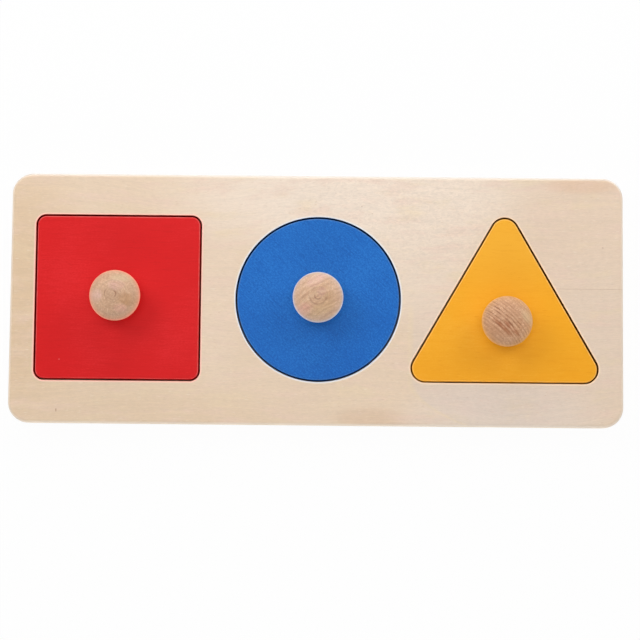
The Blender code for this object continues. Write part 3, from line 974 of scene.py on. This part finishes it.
def addThread(x, y, bottom, top):
    # A three-sided coil round the shank
    turns = int((top - bottom) / screw["pitch"])
    half = screw["threadHalfHeight"]
    sunk = screw["rootRadius"] - screw["threadSunk"]
    deselectAll()
    bpy.ops.mesh.primitive_circle_add(vertices=3, radius=half, fill_type="NOTHING", location=(x, y, bottom))
    thread = bpy.context.object
    startEditing(thread)
    mesh = bmesh.from_edit_mesh(thread.data)
    for vert, (outwards, upwards) in zip(mesh.verts, [(sunk, half), (sunk, -half), (screw["shankRadius"], 0)]):
        vert.co = Vector((outwards, 0, upwards))
    bmesh.update_edit_mesh(thread.data)
    stopEditing()
    applyModifier(thread, "SCREW", axis="Z", angle=2 * math.pi, screw_offset=screw["pitch"], iterations=turns,
                  steps=screw["threadSteps"], render_steps=screw["threadSteps"], use_merge_vertices=False)
    startEditing(thread)
    bpy.ops.mesh.select_all(action="SELECT")
    bpy.ops.mesh.fill_holes(sides=3)
    bpy.ops.mesh.normals_make_consistent(inside=False)
    stopEditing()
    return startPiece("thread")


def sharpenTip(piece, x, y, top):
    # Draws the shank and its thread in towards the point, a little more at every step
    startEditing(piece)
    steps = screw["tipSteps"]
    last = 1.0
    for step in range(1, steps + 1):
        level = top - screw["tip"] * (1 - (step - 0.5) / steps)
        pick(piece, "VERT", lambda vert: vert.co.z > level)
        wanted = max(1 - step / steps, screw["tipShare"])
        bpy.ops.transform.resize(value=(wanted / last, wanted / last, 1), center_override=(x, y, level))
        last = wanted
    stopEditing()


def carveCross(piece, x, y, headFlat):
    for degrees in (0, 90):
        deselectAll()
        size = (screw["crossSpan"], screw["crossWidth"], screw["crossDepth"] * 2)
        bpy.ops.mesh.primitive_cube_add(size=1, location=(x, y, headFlat), scale=size)
        cutter = startPiece("cutter")
        startEditing(cutter)
        pick(cutter, "VERT", lambda vert: vert.co.z > headFlat)
        bpy.ops.transform.resize(value=screw["crossFloor"], center_override=(x, y, headFlat))
        bpy.ops.mesh.select_all(action="SELECT")
        bpy.ops.transform.rotate(value=math.radians(degrees), orient_axis="Z",
                                 center_override=(x, y, headFlat))
        stopEditing()
        carve(piece, cutter)


def makeScrews():
    low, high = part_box("square_knob_screw")
    first = knobCentre("square")
    headRadius = (high.x - low.x) / 2
    shank, root, rim = screw["shankRadius"], screw["rootRadius"], screw["headRim"]
    cone = low.z + rim + headRadius - shank
    threadStart = low.z + screw["plainShank"]
    tipStart = high.z - screw["tip"]
    chamfer = screw["headChamfer"]
    profile = [(headRadius - chamfer, low.z), (headRadius, low.z + chamfer), (headRadius, low.z + rim),
               (shank, cone), (shank, threadStart - screw["stepDown"]), (root, threadStart)]
    steps = screw["tipSteps"]
    profile += [(root, tipStart + screw["tip"] * step / steps) for step in range(steps + 1)]
    master = addTurned("squareKnobScrew", first.x, first.y, profile + [(0, high.z)], screw["steps"])
    thread = addThread(first.x, first.y, threadStart + screw["threadStart"], high.z - screw["threadEnd"])
    turnFacesOut(master)
    applyModifier(master, "BOOLEAN", operation="UNION", solver="EXACT", object=thread)
    bpy.data.objects.remove(thread)
    sharpenTip(master, first.x, first.y, high.z)
    carveCross(master, first.x, first.y, low.z)
    finishShape(master, 30)
    zinc = makeZinc()
    for shape, piece in onePerShape(master, "KnobScrew"):
        dress(piece, shapes[shape]["screwBody"], shape + "_knob_screw", "screw_steel", zinc)


makeScrews()
print("screws done")


# Stage: white table, broad soft lamps above and behind, and the camera above

stage = {
    "tableSize": 8,
    "tableColour": (0.85, 0.85, 0.85, 1),
    "tableWhite": 0.96,      # share of the table's look that is plain white; the rest takes the shadow
    "wallLight": 1.7,
    "roofLight": 0.13,
    "roofFrom": 0.22,        # the tent's walls pass into its roof between these heights, 1 being overhead
    "roofTo": 0.4,
    "lampDistance": 0.8,
    "lens": 92.52,
    "cameraPlace": (0.0059, -0.0661, 0.800),
    "cameraTurn": (4.098, 0.2545, 0.574),    # degrees
    "lamps": {               # degrees round from the right, degrees up, size in metres, watts
        "topLamp": (90, 89, 0.5, 1.85),
        "leftLamp": (143, 44, 0.4, 1.85),
        "backLamp": (92, 26, 0.4, 1.35),
        "rightLamp": (38, 35, 0.35, 1.35),
        "frontLamp": (268, 17, 0.6, 1.7),
    },
}


def seenByEye(nodes):
    # 1 on what the camera sees, straight or mirrored, and 0 for the light that falls on things
    rays = nodes.everyOutput(nodes.node("ShaderNodeLightPath"))
    names = [output.output.name for output in rays]
    camera, glossy, through = [rays[names.index(name)]
                               for name in ("Is Camera Ray", "Is Glossy Ray", "Is Transmission Ray")]
    return camera | glossy | through


def makeFloor():
    deselectAll()
    bpy.ops.mesh.primitive_plane_add(size=stage["tableSize"])
    floor = startPiece("floor")
    finish = Finish("whiteTable", Roughness=0.6, Specular_IOR_Level=0.1)
    finish.feed(finish.shader.inputs["Base Color"], stage["tableColour"])
    white = finish.node("ShaderNodeEmission", {}, {"Color": (1, 1, 1, 1), "Strength": 1.0})
    matt = Socket(finish, finish.shader.outputs[0])
    share = seenByEye(finish) * stage["tableWhite"]
    table = finish.node("ShaderNodeMixShader", {}, {0: share, 1: matt, 2: white})
    finish.feed(finish.tree.nodes["Material Output"].inputs["Surface"], table)
    floor.data.materials.append(finish.material)


def makeLamps():
    for name, (around, up, size, power) in stage["lamps"].items():
        lamp = bpy.data.lights.new(name, "AREA")
        lamp.shape = "SQUARE"
        lamp.size = size
        lamp.energy = power
        holder = bpy.data.objects.new(name, lamp)
        bpy.context.scene.collection.objects.link(holder)
        flat = math.cos(math.radians(up))
        place = Vector((math.cos(math.radians(around)) * flat, math.sin(math.radians(around)) * flat,
                        math.sin(math.radians(up)))) * stage["lampDistance"]
        holder.location = place
        holder.rotation_euler = (-place).to_track_quat("-Z", "Y").to_euler()
        holder.visible_camera = False


def makeSky():
    # A light tent: bright cloth walls under a dim roof, and plain white to the camera
    world = bpy.data.worlds.new("studio")
    world.use_nodes = True
    world.node_tree.nodes.clear()
    nodes = Nodes(world.node_tree)
    direction = nodes.node("ShaderNodeTexCoord", output="Generated")
    height = nodes.everyOutput(nodes.node("ShaderNodeSeparateXYZ", {}, {0: direction}))[2]
    roof = nodes.node("ShaderNodeBackground", {}, {0: (1, 1, 1, 1), 1: stage["roofLight"]})
    walls = nodes.node("ShaderNodeBackground", {}, {0: (1, 1, 1, 1), 1: stage["wallLight"]})
    overhead = nodes.ramp(height, stage["roofFrom"], stage["roofTo"])
    light = nodes.node("ShaderNodeMixShader", {}, {0: overhead, 1: walls, 2: roof})
    white = nodes.node("ShaderNodeBackground", {}, {0: (1, 1, 1, 1), 1: 1.0})
    sky = nodes.node("ShaderNodeMixShader", {}, {0: seenByEye(nodes), 1: light, 2: white})
    end = world.node_tree.nodes.new("ShaderNodeOutputWorld")
    nodes.feed(end.inputs["Surface"], sky)
    bpy.context.scene.world = world


def makeCamera():
    lens = bpy.data.cameras.new("camera")
    lens.lens = stage["lens"]
    camera = bpy.data.objects.new("camera", lens)
    camera.location = stage["cameraPlace"]
    camera.rotation_euler = [math.radians(angle) for angle in stage["cameraTurn"]]
    bpy.context.scene.collection.objects.link(camera)
    bpy.context.scene.camera = camera


makeFloor()
makeLamps()
makeSky()
makeCamera()
bpy.context.scene.view_settings.view_transform = "Standard"
print("stage done")
